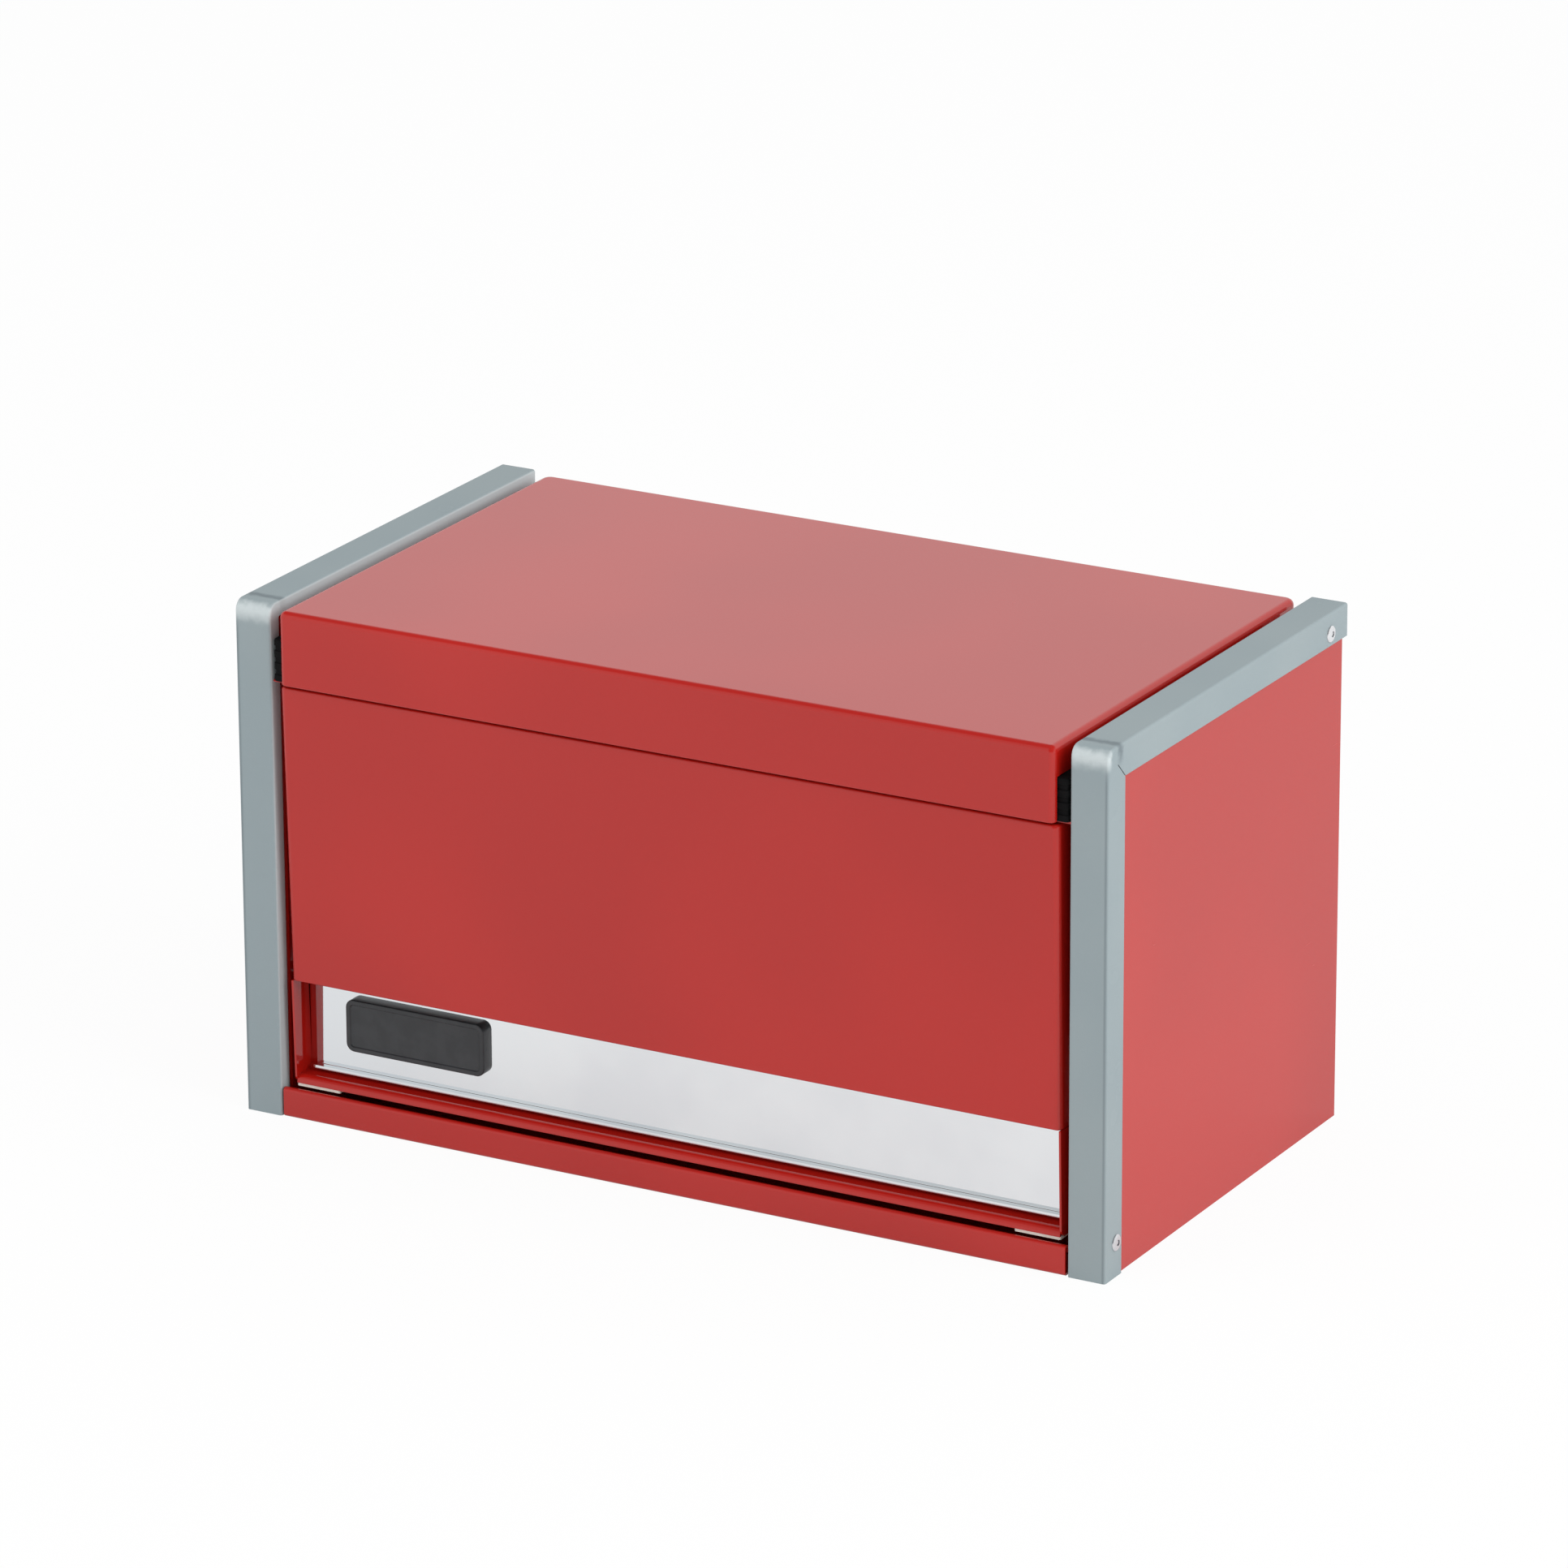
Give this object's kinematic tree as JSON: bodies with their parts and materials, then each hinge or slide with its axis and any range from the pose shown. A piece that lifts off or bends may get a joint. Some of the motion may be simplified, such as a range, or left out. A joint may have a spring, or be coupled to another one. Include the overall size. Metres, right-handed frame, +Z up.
{
  "type": "tool chest",
  "caption": "Small steel tool chest with a hinged lid over a lined top tray and a deep drawer on ball-bearing slides, opened by a recessed full-width pull.",
  "frame": {"origin": "on the surface the chest stands on, under the middle of the case between its side trims and between the trims' front plane and back ends", "axes": "+X towards the right side as seen from the front, +Y towards the back, +Z up"},
  "size_m": [0.367, 0.1971, 0.203],
  "materials": {
    "red_paint": "smooth gloss powder coat",
    "grey_paint": "satin grey powder coat",
    "polished_aluminium": "bright polished, clear anodised",
    "bright_rivet": "as set, bright",
    "black_badge": "semi-gloss black",
    "white_nylon": "matte moulded",
    "ribbed_mat": "fine ribs, matte",
    "black_rubber": "matte moulded",
    "zinc_steel": "bright zinc plate",
    "ball_steel": "polished"
  },
  "bodies": {
    "case": {"bottom_pan": "red_paint", "back_panel": "red_paint", "left_side_panel": "red_paint", "right_side_panel": "red_paint", "left_inner_wall": "red_paint", "right_inner_wall": "red_paint", "left_side_trim": "grey_paint", "right_side_trim": "grey_paint", "trim_rivets": "bright_rivet", "tray_floor": "red_paint", "tray_liner": "ribbed_mat", "left_lid_rest": "black_rubber", "right_lid_rest": "black_rubber", "hinge_body_leaf": "zinc_steel", "hinge_pin": "zinc_steel", "hinge_body_rivets": "zinc_steel", "left_slide_cabinet_member": "zinc_steel", "right_slide_cabinet_member": "zinc_steel", "slide_cabinet_screws": "zinc_steel"},
    "lid": {"lid_pan": "red_paint", "hinge_lid_leaf": "zinc_steel", "hinge_lid_rivets": "zinc_steel"},
    "drawer": {"drawer_front_skin": "red_paint", "drawer_front_panel": "red_paint", "pull_strip": "polished_aluminium", "badge_plate": "black_badge", "nylon_glides": "white_nylon", "drawer_box": "red_paint", "drawer_liner": "ribbed_mat", "left_slide_drawer_member": "zinc_steel", "right_slide_drawer_member": "zinc_steel", "slide_drawer_screws": "zinc_steel"},
    "left_slide_middle": {"left_slide_middle_member": "zinc_steel"},
    "left_outer_bearing": {"left_outer_ball_cage": "zinc_steel", "left_outer_balls": "ball_steel"},
    "left_inner_bearing": {"left_inner_ball_cage": "zinc_steel", "left_inner_balls": "ball_steel"},
    "right_slide_middle": {"right_slide_middle_member": "zinc_steel"},
    "right_outer_bearing": {"right_outer_ball_cage": "zinc_steel", "right_outer_balls": "ball_steel"},
    "right_inner_bearing": {"right_inner_ball_cage": "zinc_steel", "right_inner_balls": "ball_steel"}
  },
  "joints": [
    {"name": "lid_hinge", "type": "hinge", "parent": "case", "child": "lid", "pos_m": [0, 0.0963, 0.1878], "axis": [-1, 0, 0], "range_deg": [0, 100]},
    {"name": "drawer_slide", "type": "slide", "parent": "case", "child": "drawer", "axis": [0, -1, 0], "range_m": [0, 0.13]},
    {"name": "left_slide_middle_travel", "type": "slide", "parent": "case", "child": "left_slide_middle", "axis": [0, -1, 0], "range_m": [0, 0.065]},
    {"name": "left_outer_bearing_travel", "type": "slide", "parent": "case", "child": "left_outer_bearing", "axis": [0, -1, 0], "range_m": [0, 0.0325]},
    {"name": "left_inner_bearing_travel", "type": "slide", "parent": "case", "child": "left_inner_bearing", "axis": [0, -1, 0], "range_m": [0, 0.0975]},
    {"name": "right_slide_middle_travel", "type": "slide", "parent": "case", "child": "right_slide_middle", "axis": [0, -1, 0], "range_m": [0, 0.065]},
    {"name": "right_outer_bearing_travel", "type": "slide", "parent": "case", "child": "right_outer_bearing", "axis": [0, -1, 0], "range_m": [0, 0.0325]},
    {"name": "right_inner_bearing_travel", "type": "slide", "parent": "case", "child": "right_inner_bearing", "axis": [0, -1, 0], "range_m": [0, 0.0975]}
  ],
  "couplings": [
    {"joint": "left_slide_middle_travel", "follows": "drawer_slide", "ratio": 0.5},
    {"joint": "left_outer_bearing_travel", "follows": "drawer_slide", "ratio": 0.25},
    {"joint": "left_inner_bearing_travel", "follows": "drawer_slide", "ratio": 0.75},
    {"joint": "right_slide_middle_travel", "follows": "drawer_slide", "ratio": 0.5},
    {"joint": "right_outer_bearing_travel", "follows": "drawer_slide", "ratio": 0.25},
    {"joint": "right_inner_bearing_travel", "follows": "drawer_slide", "ratio": 0.75}
  ]
}
